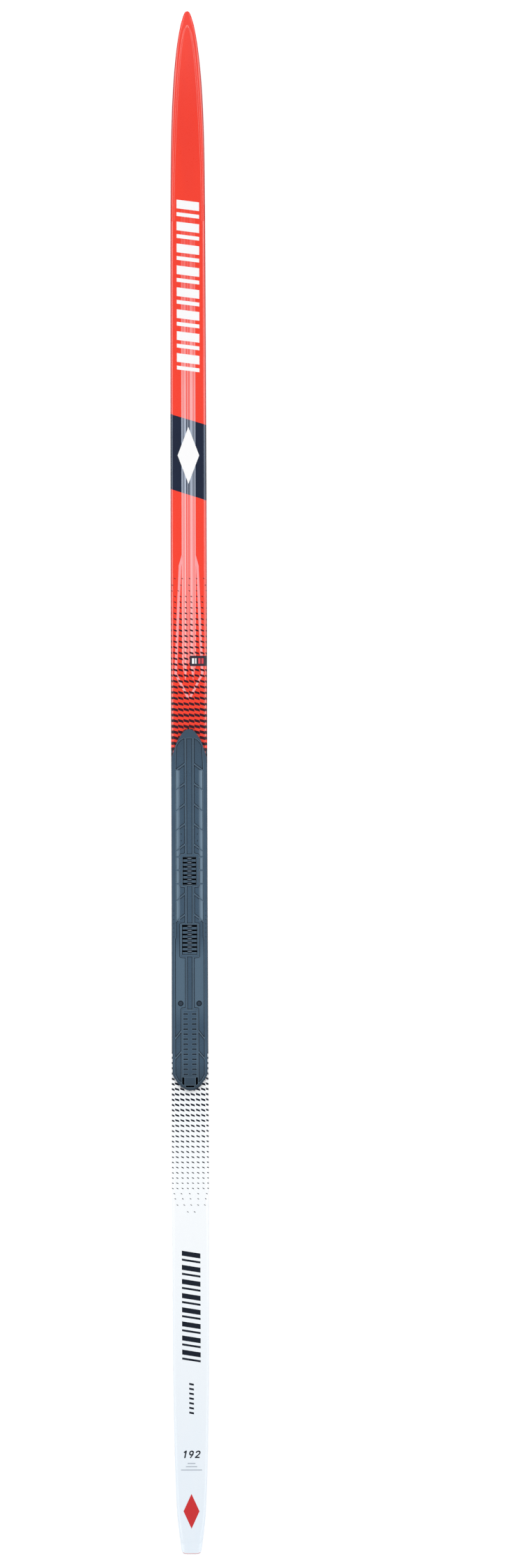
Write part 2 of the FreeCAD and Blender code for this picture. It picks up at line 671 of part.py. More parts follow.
# seat of the binding's heel stop behind the rack
sk = new_sketch(plate, "tongue_plan", "XY_Plane")
place(sk, z=DECK_TOP)
for sign in (1, -1):
    add_loop(sk, [(sign * 6.9, -365.2), (sign * 9.9, -365.2), (sign * 9.9, -373.2), (sign * 8.6, -374.6), (sign * 6.9, -374.6)])
add_loop(sk, [(-6.0, -375.2), (6.0, -375.2), (4.8, -377.8), (-4.8, -377.8)])
pocket(plate, sk, "tongue_slots", "1.6")

# locating holes, centre tick and scale marks
sk = new_sketch(plate, "pin_plan", "XY_Plane")
place(sk, z=DECK_TOP)
for x in (-10.0, 10.0):
    for y in (-63.0, -71.4):
        sk.addGeometry(Part.Circle(Vec(x, y, 0), Vec(0, 0, 1), 0.65), False)
pocket(plate, sk, "pin_holes", "dims.panel_depth + 1.0")
sk = new_sketch(plate, "mark_plan", "XY_Plane")
place(sk, z=DECK_TOP)
for sign in (1, -1):
    for i in range(7):
        y = -158.5 - 5.33 * i
        add_loop(sk, [(sign * 19.0, y + 0.3), (sign * 20.8, y + 0.3), (sign * 20.8, y - 0.3), (sign * 19.0, y - 0.3)])
    add_loop(sk, [(sign * 3.9, -54.9), (sign * 5.0, -54.9), (sign * 5.0, -55.5), (sign * 3.9, -55.5)])
pocket(plate, sk, "scale_marks", "0.3")
sk = new_sketch(plate, "mould_mark_plan", "XY_Plane")
place(sk, z=DECK_TOP)
for x in (-11.4, 11.5):
    sk.addGeometry(Part.Circle(Vec(x, -273.4, 0), Vec(0, 0, 1), 3.4), False)
pocket(plate, sk, "mould_marks", "dims.panel_depth + 0.25")
NODES.append(plate)
doc.recompute()

# ---------------------------------------------------------------- finish
doc.recompute()
problems = []
for obj in doc.Objects:
    if {"Invalid", "Error"} & set(obj.State):
        problems.append("%s: %s" % (obj.Label, obj.State))
for node in NODES:
    shape = node.Shape
    if shape.isNull():
        problems.append("%s: null shape" % node.Label)
    elif not shape.isValid() or len(shape.Solids) != 1:
        problems.append("%s: %d solids, valid %s" % (node.Label, len(shape.Solids), shape.isValid()))
    else:
        b = shape.BoundBox
        print("%-26s %10.1f mm3  x %.2f..%.2f  y %.1f..%.1f  z %.2f..%.2f"
              % (node.Label, shape.Volume, b.XMin, b.XMax, b.YMin, b.YMax, b.ZMin, b.ZMax))
for node in NODES:
    want = EXPECTED.get(node.Label)
    if want and abs(node.Shape.Volume - want) > 0.03 * want:
        problems.append("%s: volume %.0f, expected %.0f" % (node.Label, node.Shape.Volume, want))
if problems:
    raise RuntimeError("; ".join(problems))

os.makedirs("parts", exist_ok=True)
for node in NODES:
    shape = node.Shape
    if shape.ShapeType != "Solid":
        shape = shape.Solids[0]
    shape.exportStep(os.path.join("parts", node.Label + ".step"))
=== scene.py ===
import json
import math

import bmesh
import bpy
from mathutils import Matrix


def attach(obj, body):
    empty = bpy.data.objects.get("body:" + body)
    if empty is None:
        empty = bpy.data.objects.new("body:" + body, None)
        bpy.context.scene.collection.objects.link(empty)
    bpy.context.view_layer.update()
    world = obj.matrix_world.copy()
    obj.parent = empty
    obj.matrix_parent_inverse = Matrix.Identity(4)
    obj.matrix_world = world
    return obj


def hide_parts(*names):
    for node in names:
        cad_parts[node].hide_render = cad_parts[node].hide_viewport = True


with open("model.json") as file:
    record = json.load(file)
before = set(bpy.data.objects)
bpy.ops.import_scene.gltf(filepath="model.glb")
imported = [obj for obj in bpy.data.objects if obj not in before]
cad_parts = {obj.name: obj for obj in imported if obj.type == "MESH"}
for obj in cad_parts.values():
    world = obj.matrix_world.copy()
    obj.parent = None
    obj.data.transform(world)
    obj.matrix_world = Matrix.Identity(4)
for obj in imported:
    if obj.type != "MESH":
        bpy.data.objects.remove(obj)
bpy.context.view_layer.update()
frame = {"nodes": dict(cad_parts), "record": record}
NODES = frame["nodes"]


# ------------------------------------------------------------------ ski shape
# Millimetres in this block. The ski's centre is Y = 0, the tip is at +960.
HALF = 960.0
STATIONS = [-960.0, -900.0, -860.0, -410.0, 95.0, 770.0, 800.0, 960.0]
TOP_Z = [12.4, 8.0, 8.0, 48.0, 48.0, 8.0, 8.0, 37.2]
EMBOSS_RISE = 0.3
FILM = 0.8
BEVEL_W, BEVEL_D = 1.2, 0.6

WIDTHS = [
    (-958.9, 10.6), (-957.0, 11.85), (-943.9, 13.85), (-918.8, 17.05), (-897.2, 18.55), (-862.5, 19.95),
    (-827.9, 20.95), (-797.6, 21.5), (-758.6, 22.15), (-715.3, 22.5), (-628.7, 22.72), (-520.0, 22.86),
    (-412.0, 22.82), (-280.0, 22.55), (-152.0, 22.35), (0.0, 22.32), (150.7, 22.42), (280.6, 22.38),
    (410.5, 22.25), (540.4, 21.98), (627.0, 21.8), (704.9, 21.56), (756.9, 21.2), (791.5, 20.76),
    (826.2, 19.83), (857.4, 18.42), (883.4, 16.6), (902.4, 14.75), (916.3, 13.05), (928.4, 11.2),
    (938.8, 9.25), (945.7, 7.62), (951.8, 5.75), (957.77, 3.46),
]
EMBOSS = [
    (-946.0, 10.4), (-918.8, 14.4), (-897.2, 16.1), (-862.5, 17.6), (-797.6, 19.2), (-715.3, 20.2),
    (-520.0, 20.55), (-280.0, 20.25), (0.0, 20.0), (280.6, 20.05), (540.4, 19.65), (704.9, 19.0),
    (772.0, 17.9), (818.0, 15.9), (860.0, 13.5), (896.0, 10.6), (920.0, 7.5), (936.0, 4.2), (943.5, 0.0),
]


def pchip(table):
    """Smooth curve through a table of (y, value) that never overshoots."""
    ys = [p[0] for p in table]
    vs = [p[1] for p in table]
    n = len(ys)
    h = [ys[i + 1] - ys[i] for i in range(n - 1)]
    d = [(vs[i + 1] - vs[i]) / h[i] for i in range(n - 1)]
    m = [0.0] * n
    m[0], m[-1] = d[0], d[-1]
    for i in range(1, n - 1):
        if d[i - 1] * d[i] > 0:
            w1, w2 = 2 * h[i] + h[i - 1], h[i] + 2 * h[i - 1]
            m[i] = (w1 + w2) / (w1 / d[i - 1] + w2 / d[i])

    def f(y):
        if y <= ys[0]:
            return vs[0]
        if y >= ys[-1]:
            return vs[-1]
        a, b = 0, n - 1
        while b - a > 1:
            k = (a + b) // 2
            if ys[k] <= y:
                a = k
            else:
                b = k
        t = (y - ys[a]) / h[a]
        return ((1 + 2 * t) * (1 - t) ** 2 * vs[a] + t * (1 - t) ** 2 * h[a] * m[a]
                + t * t * (3 - 2 * t) * vs[a + 1] + t * t * (t - 1) * h[a] * m[a + 1])

    return f


side_w = pchip(WIDTHS)
emboss_w = pchip(EMBOSS)


def half_w(y):
    """Half width of the ski in plan."""
    if y > 957.77:
        return math.sqrt(max(0.0, 3.8 ** 2 - (y - 956.2) ** 2))
    if y < -956.97:
        return 8.39 + math.sqrt(max(0.0, 3.5 ** 2 - (y + 956.5) ** 2))
    return side_w(y)


def emboss_half(y):
    """Half width of the raised centre panel."""
    if y < -946.0 or y > 943.5:
        return 0.0
    return emboss_w(y)


def top_z(y):
    """Height of the rim of the topsheet on the centre line."""
    for i in range(len(STATIONS) - 1):
        if y <= STATIONS[i + 1] + 1e-9:
            break
    y0, y1, z0, z1 = STATIONS[i], STATIONS[i + 1], TOP_Z[i], TOP_Z[i + 1]
    t = min(1.0, max(0.0, (y - y0) / (y1 - y0)))
    if i == 0:
        return z1 + (z0 - z1) * (1 - t) ** 2
    if i == len(STATIONS) - 2:
        return z0 + (z1 - z0) * t * t
    return z0 + (z1 - z0) * t * t * (3 - 2 * t)


def shoulder(y):
    """Half width of the soft step around the raised panel."""
    return 0.75 + 0.45 * min(1.0, max(0.0, (y - 700.0) / 120.0))


# Profile coordinate s across the ski: 0 centre, 1 inner end of the step,
# 2 its outer end, 3 start of the edge bevel, 4 the edge itself.
def breaks(y):
    w = half_w(y)
    e = emboss_half(y)
    sh = shoulder(y)
    edge = max(0.0, w - BEVEL_W)
    outer = min(e + sh, max(0.0, edge - 0.15)) if e > 0 else 0.0
    inner = max(0.0, min(e - sh, outer))
    if e <= 0:
        inner = 0.0
    return [0.0, inner, outer, max(edge, outer), max(w, edge, outer)]


def rise(y):
    """Height of the raised panel, fading out at both of its ends."""
    if y < -946.0 or y > 943.5:
        return 0.0
    k = min(1.0, (943.5 - y) / 4.0, (y + 946.0) / 4.0)
    return EMBOSS_RISE * max(0.0, k)


def x_of(s, y):
    b = breaks(y)
    sign = -1.0 if s < 0 else 1.0
    a = min(4.0, abs(s))
    i = min(3, int(a))
    return sign * (b[i] + (b[i + 1] - b[i]) * (a - i))


def s_of(x, y):
    b = breaks(y)
    sign = -1.0 if x < 0 else 1.0
    a = abs(x)
    for i in range(4):
        if a <= b[i + 1] or i == 3:
            span = b[i + 1] - b[i]
            if span < 1e-6:
                if i == 3:
                    return sign * 4.0
                continue
            return sign * (i + min(1.0, (a - b[i]) / span))
    return sign * 4.0


def surf_z(x, y):
    """Height of the topsheet surface at a point of the plan."""
    b = breaks(y)
    a = abs(x)
    z = top_z(y)
    h = rise(y)
    if a <= b[1]:
        return z + h
    if a <= b[2]:
        t = (a - b[1]) / max(1e-6, b[2] - b[1])
        return z + h * (1 - t * t * (3 - 2 * t))
    if a <= b[3]:
        return z
    t = (a - b[3]) / max(1e-6, b[4] - b[3])
    return z - BEVEL_D * min(1.0, t)


# ------------------------------------------------------------------ materials
def srgb(r, g, b):
    def f(c):
        c = c / 255.0
        return c / 12.92 if c <= 0.04045 else ((c + 0.055) / 1.055) ** 2.4
    return (f(r), f(g), f(b), 1.0)


def new_material(name):
    m = bpy.data.materials.new(name)
    m.use_nodes = True
    nt = m.node_tree
    nt.nodes.clear()
    out = nt.nodes.new("ShaderNodeOutputMaterial")
    bsdf = nt.nodes.new("ShaderNodeBsdfPrincipled")
    nt.links.new(bsdf.outputs["BSDF"], out.inputs["Surface"])
    return m, nt, bsdf


def coords(nt):
    return nt.nodes.new("ShaderNodeTexCoord").outputs["Object"]


def mapped(nt, scale):
    mp = nt.nodes.new("ShaderNodeMapping")
    mp.inputs["Scale"].default_value = scale
    nt.links.new(coords(nt), mp.inputs["Vector"])
    return mp.outputs["Vector"]


def noise(nt, scale, detail=3.0, rough=0.55, stretch=(1, 1, 1)):
    n = nt.nodes.new("ShaderNodeTexNoise")
    n.inputs["Scale"].default_value = scale
    n.inputs["Detail"].default_value = detail
    n.inputs["Roughness"].default_value = rough
    nt.links.new(mapped(nt, stretch), n.inputs["Vector"])
    return n.outputs["Fac"]


def ramp(nt, fac, lo, hi, a=0.0, b=1.0):
    r = nt.nodes.new("ShaderNodeMapRange")
    r.inputs["From Min"].default_value = lo
    r.inputs["From Max"].default_value = hi
    r.inputs["To Min"].default_value = a
    r.inputs["To Max"].default_value = b
    nt.links.new(fac, r.inputs["Value"])
    return r.outputs["Result"]


def mix(nt, fac, ca, cb, mode="MIX"):
    m = nt.nodes.new("ShaderNodeMix")
    m.data_type = "RGBA"
    m.blend_type = mode
    if isinstance(fac, float):
        m.inputs[0].default_value = fac
    else:
        nt.links.new(fac, m.inputs[0])
    for v, sock in ((ca, m.inputs[6]), (cb, m.inputs[7])):
        if isinstance(v, tuple):
            sock.default_value = v
        else:
            nt.links.new(v, sock)
    return m.outputs[2]


def math_node(nt, op, a, b=None):
    n = nt.nodes.new("ShaderNodeMath")
    n.operation = op
    for v, sock in ((a, n.inputs[0]), (b, n.inputs[1])):
        if v is None:
            continue
        if isinstance(v, float):
            sock.default_value = v
        else:
            nt.links.new(v, sock)
    return n.outputs[0]


def along_y(nt):
    sep = nt.nodes.new("ShaderNodeSeparateXYZ")
    nt.links.new(coords(nt), sep.inputs[0])
    return sep.outputs["Y"]


def bump(nt, bsdf, height, strength, distance):
    b = nt.nodes.new("ShaderNodeBump")
    b.inputs["Strength"].default_value = strength
    b.inputs["Distance"].default_value = distance
    nt.links.new(height, b.inputs["Height"])
    nt.links.new(b.outputs["Normal"], bsdf.inputs["Normal"])


def shade(c, k):
    return (min(1.0, c[0] * k), min(1.0, c[1] * k), min(1.0, c[2] * k), 1.0)


def film_material(name, color, rough=0.32, vary=0.04, spec=0.5, coat=0.25):
    """Gloss film: an even colour with the faint mottle of the press; used for print and for the painted highlight and
    painted shade lines.
    """
    m, nt, bsdf = new_material(name)
    n = noise(nt, 60.0, 4.0, stretch=(1.0, 0.25, 1.0))
    nt.links.new(mix(nt, ramp(nt, n, 0.3, 0.7), shade(color, 1 - vary), shade(color, 1 + vary)), bsdf.inputs["Base Color"])
    nt.links.new(ramp(nt, noise(nt, 900.0, 2.0), 0.3, 0.7, rough - 0.03, rough + 0.03), bsdf.inputs["Roughness"])
    bsdf.inputs["Specular IOR Level"].default_value = spec
    bsdf.inputs["Coat Weight"].default_value = coat
    bsdf.inputs["Coat Roughness"].default_value = 0.25
    bump(nt, bsdf, noise(nt, 350.0, 3.0), 0.15, 0.00003)
    return m


RED = srgb(247, 58, 34)
RED_TIP = srgb(242, 56, 42)
NAVY = srgb(14, 28, 54)
WHITE_FILM = srgb(240, 246, 252)

# ------------------------------------------------------------------ mesh tools
ROOT = "root"


def mesh_object(name, verts_mm, faces, material, smooth=True):
    me = bpy.data.meshes.new(name)
    me.from_pydata([(x / 1000.0, y / 1000.0, z / 1000.0) for x, y, z in verts_mm], [], faces)
    me.update()
    me.validate()
    o = bpy.data.objects.new(name, me)
    bpy.context.scene.collection.objects.link(o)
    me.materials.append(material)
    for p in me.polygons:
        p.use_smooth = smooth
    return o


def lerp(a, b, t):
    return tuple(p + (q - p) * t for p, q in zip(a, b))


def split(poly, axis, value):
    """Cuts a convex polygon by a line; returns the parts below and above."""
    lo, hi = [], []
    n = len(poly)
    for i in range(n):
        p, q = poly[i], poly[(i + 1) % n]
        a, b = p[axis] - value, q[axis] - value
        if a <= 1e-9:
            lo.append(p)
        if a >= -1e-9:
            hi.append(p)
        if (a < -1e-9 and b > 1e-9) or (a > 1e-9 and b < -1e-9):
            c = lerp(p, q, a / (a - b))
            lo.append(c)
            hi.append(c)
    return (lo if len(lo) > 2 else None), (hi if len(hi) > 2 else None)


def slices(poly, axis, values):
    out, rest = [], poly
    for v in sorted(values):
        if rest is None:
            break
        lo, rest = split(rest, axis, v)
        if lo:
            out.append(lo)
    if rest:
        out.append(rest)
    return out


S_CUTS = [-4, -3.5, -3, -2, -1.75, -1.5, -1.25, -1, 1, 1.25, 1.5, 1.75, 2, 3, 3.5, 4]


def split_line(poly, f):
    """Cuts a convex polygon where f changes sign; returns both parts."""
    lo, hi = [], []
    n = len(poly)
    for i in range(n):
        p, q = poly[i], poly[(i + 1) % n]
        a, b = f(p), f(q)
        if a <= 1e-9:
            lo.append(p)
        if a >= -1e-9:
            hi.append(p)
        if (a < -1e-9 and b > 1e-9) or (a > 1e-9 and b < -1e-9):
            c = lerp(p, q, a / (a - b))
            lo.append(c)
            hi.append(c)
    return (lo if len(lo) > 2 else None), (hi if len(hi) > 2 else None)


def drape(name, polys, material, lift=0.045, step=5.0):
    """A printed shape: plan polygons laid on the topsheet surface."""
    verts, faces, index = [], [], {}

    def vid(x, y):
        key = (round(x, 3), round(y, 3))
        if key not in index:
            index[key] = len(verts)
            w = half_w(y)
            verts.append((max(-w, min(w, x)), y, surf_z(x, y) + lift))
        return index[key]

    for poly in polys:
        y0 = min(p[1] for p in poly)
        y1 = max(p[1] for p in poly)
        k0, k1 = int(math.floor(y0 / step)), int(math.ceil(y1 / step))
        for part in slices(poly, 1, [k * step for k in range(k0, k1 + 1)]):
            mid = (min(p[1] for p in part) + max(p[1] for p in part)) / 2
            ya = math.floor(mid / step) * step
            yb = ya + step
            rest = part
            cells = []
            for s in S_CUTS:
                if rest is None:
                    break
                xa, xb = x_of(s, ya), x_of(s, yb)
                lo, rest = split_line(rest, lambda p: p[0] - (xa + (xb - xa) * (p[1] - ya) / step))
                if lo and s > -4:
                    cells.append(lo)
            for cell in cells:
                ids = []
                for x, y in cell:
                    v = vid(x, y)
                    if v not in ids:
                        ids.append(v)
                if len(ids) < 3:
                    continue
                area = 0.0
                for i, j in zip(ids, ids[1:] + ids[:1]):
                    area += verts[i][0] * verts[j][1] - verts[j][0] * verts[i][1]
                if abs(area) < 1e-4:
                    continue
                faces.append(ids if area > 0 else ids[::-1])
    o = mesh_object(name, verts, faces, material)
    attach(o, ROOT)
    return o


# Plan coordinates of the prints are given as (across, along) in units of the
# artwork grid, U millimetres each: u across from the centre line, v along
# from the tip end.
U = 0.866


def P(u, v):
    return (u * U, (1108.5 - v) * U)


# ------------------------------------------------------------------ topsheet
def tidy(o):
    """Join points that coincide where the profile closes, and drop the empty faces between them."""
    bm = bmesh.new()
    bm.from_mesh(o.data)
    bmesh.ops.remove_doubles(bm, verts=bm.verts[:], dist=2e-6)
    bmesh.ops.dissolve_degenerate(bm, dist=1e-6, edges=bm.edges[:])
    bm.to_mesh(o.data)
    bm.free()
    o.data.update()


def topsheet_piece(name, y_from, y_to, material):
    ys = []
    y = y_from
    while y < y_to - 1e-6:
        ys.append(y)
        d_end = min(abs(y - 960.0), abs(y + 960.0))
        y += 0.5 if d_end < 8 else (1.5 if d_end < 40 else 4.0)
    ys.append(y_to)
    ss = [0, 0.5, 1, 1.2, 1.4, 1.6, 1.8, 2, 2.5, 3, 3.08, 3.5, 3.92, 4]
    ss = [-s for s in reversed(ss[1:])] + ss
    verts, faces = [], []
    n = len(ss) + 2
    for y in ys:
        w = max(half_w(y), 0.02)
        z = top_z(y)
        verts.append((-w, y, z - FILM))
        for s in ss:
            x = x_of(s, y)
            verts.append((x, y, surf_z(x, y)))
        verts.append((w, y, z - FILM))
    for i in range(len(ys) - 1):
        for j in range(n - 1):
            a = i * n + j
            faces.append((a, a + 1, a + n + 1, a + n))
        # underside
        faces.append((i * n, (i + 1) * n, (i + 1) * n + n - 1, i * n + n - 1))
    for i in (0, len(ys) - 1):
        ring = [i * n + j for j in range(n)]
        faces.append(ring if i else ring[::-1])
    o = mesh_object(name, verts, faces, material)
    tidy(o)
    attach(o, ROOT)
    return o


def red_film():
    m, nt, bsdf = new_material("red_gloss_film")
    y = along_y(nt)
    body = mix(nt, ramp(nt, y, 0.55, 0.95), RED, RED_TIP)
    n = noise(nt, 45.0, 4.0, stretch=(1.0, 0.2, 1.0))
    col = mix(nt, ramp(nt, n, 0.3, 0.7), body, shade(RED, 1.03))
    nt.links.new(col, bsdf.inputs["Base Color"])
    nt.links.new(ramp(nt, noise(nt, 900.0, 2.0), 0.3, 0.7, 0.27, 0.33), bsdf.inputs["Roughness"])
    bsdf.inputs["Specular IOR Level"].default_value = 0.5
    bsdf.inputs["Coat Weight"].default_value = 0.3
    bsdf.inputs["Coat Roughness"].default_value = 0.2
    bump(nt, bsdf, noise(nt, 300.0, 3.0), 0.15, 0.00003)
    return m


def white_film():
    m, nt, bsdf = new_material("cool_white_gloss_film")
    y = along_y(nt)
    body = mix(nt, ramp(nt, y, -0.5, -0.95), srgb(250, 253, 255), srgb(231, 242, 252))
    n = noise(nt, 45.0, 4.0, stretch=(1.0, 0.2, 1.0))
    col = mix(nt, ramp(nt, n, 0.3, 0.7, 0.0, 0.4), body, srgb(243, 248, 253))
    nt.links.new(col, bsdf.inputs["Base Color"])
    nt.links.new(ramp(nt, noise(nt, 900.0, 2.0), 0.3, 0.7, 0.27, 0.33), bsdf.inputs["Roughness"])
    bsdf.inputs["Specular IOR Level"].default_value = 0.5
    bsdf.inputs["Coat Weight"].default_value = 0.3
    bsdf.inputs["Coat Roughness"].default_value = 0.2
    bump(nt, bsdf, noise(nt, 300.0, 3.0), 0.15, 0.00003)
    return m


front_film = topsheet_piece("topsheet_front_red", -130.0, 960.0, red_film())
rear_film = topsheet_piece("topsheet_rear_white", -960.0, -130.0, white_film())
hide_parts("topsheet")

# ------------------------------------------------------------------ prints
def quad(u0, v0, u1, v1, slope=0.0):
    """Block between u0..u1 and v0..v1 whose ends slope by v = slope * u."""
    return [P(u0, v0 + slope * u0), P(u1, v0 + slope * u1), P(u1, v1 + slope * u1), P(u0, v1 + slope * u0)]


def faded(name, low, high, y_start, y_end, amount):
    """Print whose colour fades from low to high along the ski (mm)."""
    m, nt, bsdf = new_material(name)
    f = ramp(nt, along_y(nt), y_start / 1000.0, y_end / 1000.0, 0.0, amount)
    n = noise(nt, 60.0, 4.0, stretch=(1.0, 0.2, 1.0))
    col = mix(nt, ramp(nt, n, 0.3, 0.7, 0.0, 0.12), mix(nt, f, low, high), high)
    nt.links.new(col, bsdf.inputs["Base Color"])
    nt.links.new(ramp(nt, noise(nt, 900.0, 2.0), 0.3, 0.7, 0.27, 0.33), bsdf.inputs["Roughness"])
    bsdf.inputs["Specular IOR Level"].default_value = 0.5
    bsdf.inputs["Coat Weight"].default_value = 0.3
    bsdf.inputs["Coat Roughness"].default_value = 0.2
    bump(nt, bsdf, noise(nt, 300.0, 3.0), 0.15, 0.00003)
    return m


# v offsets: v = artwork row minus 15.5, so the tip end is v = 0
V0 = 15.5
# stripe bands across the ski: start of each band (u) and strength on red and on navy
BANDS = [
    (-9.9, 0.72, 0.80), (-8.6, 0.28, 0.20), (-7.7, 0.56, 0.44), (-6.6, 0.30, 0.28), (-5.7, 0.75, 0.85),
    (-3.6, 0.12, 0.05), (-2.6, 0.16, 0.14), (-1.6, 0.65, 0.60), (-0.6, 0.14, 0.07), (0.5, 0.33, 0.30),
    (1.3, 0.16, 0.08), (2.3, 0.72, 0.66), (5.4, 0.47, 0.36), (7.3, 0.24, 0.22), (8.3, 0.58, 0.50),
]
U_END = 10.2


def stripe_material(name, base, light, which, fade=None, gain=1.0):
    """Lengthwise stripes: the strength of the light ink steps across the ski."""
    m, nt, bsdf = new_material(name)
    sep = nt.nodes.new("ShaderNodeSeparateXYZ")
    nt.links.new(coords(nt), sep.inputs[0])
    x = ramp(nt, sep.outputs["X"], P(-12, 0)[0] / 1000.0, P(12, 0)[0] / 1000.0)
    cr = nt.nodes.new("ShaderNodeValToRGB")
    cr.color_ramp.interpolation = "CONSTANT"
    el = cr.color_ramp.elements
    el[0].position = 0.0
    first = BANDS[0][which] * gain
    el[0].color = (first, first, first, 1)
    k = BANDS[-1][which] * gain
    el[1].position = 1.0
    el[1].color = (k, k, k, 1)
    for row in BANDS[1:]:
        k = row[which] * gain
        e = el.new((row[0] + 12.0) / 24.0)
        e.color = (k, k, k, 1)
    nt.links.new(x, cr.inputs["Fac"])
    f = cr.outputs["Color"]
    if fade:
        f = math_node(nt, "MULTIPLY", f, ramp(nt, sep.outputs["Y"], fade[0] / 1000.0, fade[1] / 1000.0))
    n = noise(nt, 60.0, 4.0, stretch=(1.0, 0.2, 1.0))
    low = mix(nt, ramp(nt, n, 0.3, 0.7), shade(base, 0.97), shade(base, 1.03))
    nt.links.new(mix(nt, f, low, light), bsdf.inputs["Base Color"])
    nt.links.new(ramp(nt, noise(nt, 900.0, 2.0), 0.3, 0.7, 0.27, 0.33), bsdf.inputs["Roughness"])
    bsdf.inputs["Specular IOR Level"].default_value = 0.45
    bsdf.inputs["Coat Weight"].default_value = 0.2
    bsdf.inputs["Coat Roughness"].default_value = 0.2
    bump(nt, bsdf, noise(nt, 300.0, 3.0), 0.15, 0.00003)
    return m


BAND_TOP = lambda u: 601.3 - V0 + 0.306 * u
BAND_END = lambda u: 709.5 - V0 + 0.318 * u
U0 = BANDS[0][0]
PALE_INK = srgb(255, 204, 206)
BLUE_INK = srgb(200, 212, 232)
drape("stripes_front", [[P(U0, 285 - V0), P(U_END, 285 - V0), P(U_END, BAND_TOP(U_END)), P(U0, BAND_TOP(U0))]],
      stripe_material("stripes_front_print", RED, PALE_INK, 1, (P(0, 275 - V0)[1], P(0, 560 - V0)[1])), lift=0.03)
drape("stripes_middle", [
    [P(U0, BAND_END(U0)), P(U_END, BAND_END(U_END)), P(U_END, 952 - V0), P(U0, 952 - V0)],
    [P(U0, 952 - V0), P(-1.6, 952 - V0), P(-5.0, 976 - V0)],
    [P(1.6, 952 - V0), P(U_END, 952 - V0), P(6.0, 976 - V0)],
], stripe_material("stripes_middle_print", RED, PALE_INK, 1), lift=0.03)

# navy band with its stripes
navy = film_material("navy_print", NAVY, vary=0.06, spec=0.3, coat=0.1)
W_OUT = 40.0
drape("navy_band", [[P(-W_OUT, BAND_TOP(-W_OUT)), P(W_OUT, BAND_TOP(W_OUT)), P(W_OUT, BAND_END(W_OUT)), P(-W_OUT, BAND_END(-W_OUT))]], navy, lift=0.04)
drape("band_stripes", [[P(U0, BAND_TOP(U0)), P(U_END, BAND_TOP(U_END)), P(U_END, BAND_END(U_END)), P(U0, BAND_END(U0))]],
      stripe_material("band_stripes_print", NAVY, BLUE_INK, 2), lift=0.06)

white = film_material("white_print", srgb(252, 252, 253), vary=0.01)
# plain lozenge on the band
mid = 653 - V0
drape("band_lozenge", [
    [P(0, mid - 41), P(15.5, mid), P(0, mid + 41), P(-15.5, mid)],
], white, lift=0.08)

# plain slanted bars in front of the band: wide and narrow in turn
bars = []
v = 286.5 - V0
while v < 536 - V0:
    bars.append(quad(-16.2, v, 16.2, v + 12.5, 0.13))
    bars.append(quad(-16.2, v + 18.0, 16.2, v + 23.5, 0.13))
    v += 31.6
drape("front_bars", bars, white, lift=0.06)

# two light lines that open towards the plate and then close to a point
light = film_material("pale_pink_print", srgb(252, 160, 162), vary=0.02)
for sign, tag in ((-1, "left"), (1, "right")):
    drape("branch_line_" + tag, [
        [P(sign * 8.4, 797 - V0), P(sign * 10.1, 796 - V0), P(sign * 14.3, 811.5 - V0), P(sign * 10.6, 814 - V0)],
        [P(sign * 10.6, 814 - V0), P(sign * 14.3, 811.5 - V0), P(sign * 20.9, 967 - V0), P(sign * 17.2, 967 - V0)],
        [P(sign * 17.2, 967 - V0), P(sign * 20.9, 967 - V0), P(sign * 2.4, 1003 - V0), P(0, 1000 - V0)],
    ], light, lift=0.05)

# small dark label, without lettering
label = film_material("dark_label_print", srgb(46, 40, 54), vary=0.05, spec=0.3, coat=0.1)
drape("label", [quad(1.2, 941 - V0, 40.0, 955.8 - V0)], label, lift=0.13)
drape("label_bar_white", [quad(4.4, 944.6 - V0, 7.6, 952.4 - V0, 0.0), quad(9.0, 944.6 - V0, 10.8, 952.4 - V0, 0.0)], white, lift=0.16)
label_red = film_material("label_red_print", srgb(226, 66, 78), vary=0.04)
drape("label_bar_red", [quad(13.5, 944.6 - V0, 16.5, 952.4 - V0, 0.0), quad(18.0, 944.6 - V0, 21.0, 952.4 - V0, 0.0)], label_red, lift=0.16)


def dash(u, v, w, t, slope=0.28):
    """Small slanted block centred on (u, v), w across and t along the ski."""
    h = w / 2.0
    pts = [(-h - 0.3, -t / 2 - slope * h), (h - 0.3, -t / 2 + slope * h), (h + 0.3, t / 2 + slope * h), (-h + 0.3, t / 2 - slope * h)]
    return [P(u + x, v - V0 + y) for x, y in pts]


def between(v, table):
    """Straight-line value from a table of (v, value)."""
    if v <= table[0][0]:
        return table[0][1]
    for (a, fa), (b, fb) in zip(table, table[1:]):
        if v <= b:
            return fa + (fb - fa) * (v - a) / (b - a)
    return table[-1][1]


# dashes on the red film, growing towards the plate
cols = [-19.6, -11.85, -4.0, 3.7, 11.55, 19.3]
shape = []
for vv, us in ((830.2, (-19.9, -9.3, 1.2, 11.2, 21.7)), (839.7, (-23.2, -11.2, 0.4, 11.4, 24.0)), (847.8, (-24.2, -15.0, 0.8, 11.2, 25.2))):
    shape += [dash(u, vv, 2.0, 1.2) for u in us]
D_W = [(855, 2.3), (900, 4.5), (945, 5.9), (985, 6.9), (1030, 7.7), (1050, 7.8)]
D_T = [(855, 1.4), (900, 2.4), (945, 2.9), (985, 3.3), (1030, 3.9), (1050, 4.3)]
vv = 855.9
while vv < 1092:
    w, t = between(vv, D_W), between(vv, D_T)
    shape += [dash(u, vv, w, t) for u in cols]
    shape += [dash(-26.6, vv - 1.0, w, t), dash(26.6, vv + 1.0, w, t)]
    vv += 8.12
maroon = film_material("dark_maroon_print", srgb(44, 8, 28), vary=0.06, spec=0.3, coat=0.1)
drape("dashes_front", shape, maroon, lift=0.10, step=2.5)

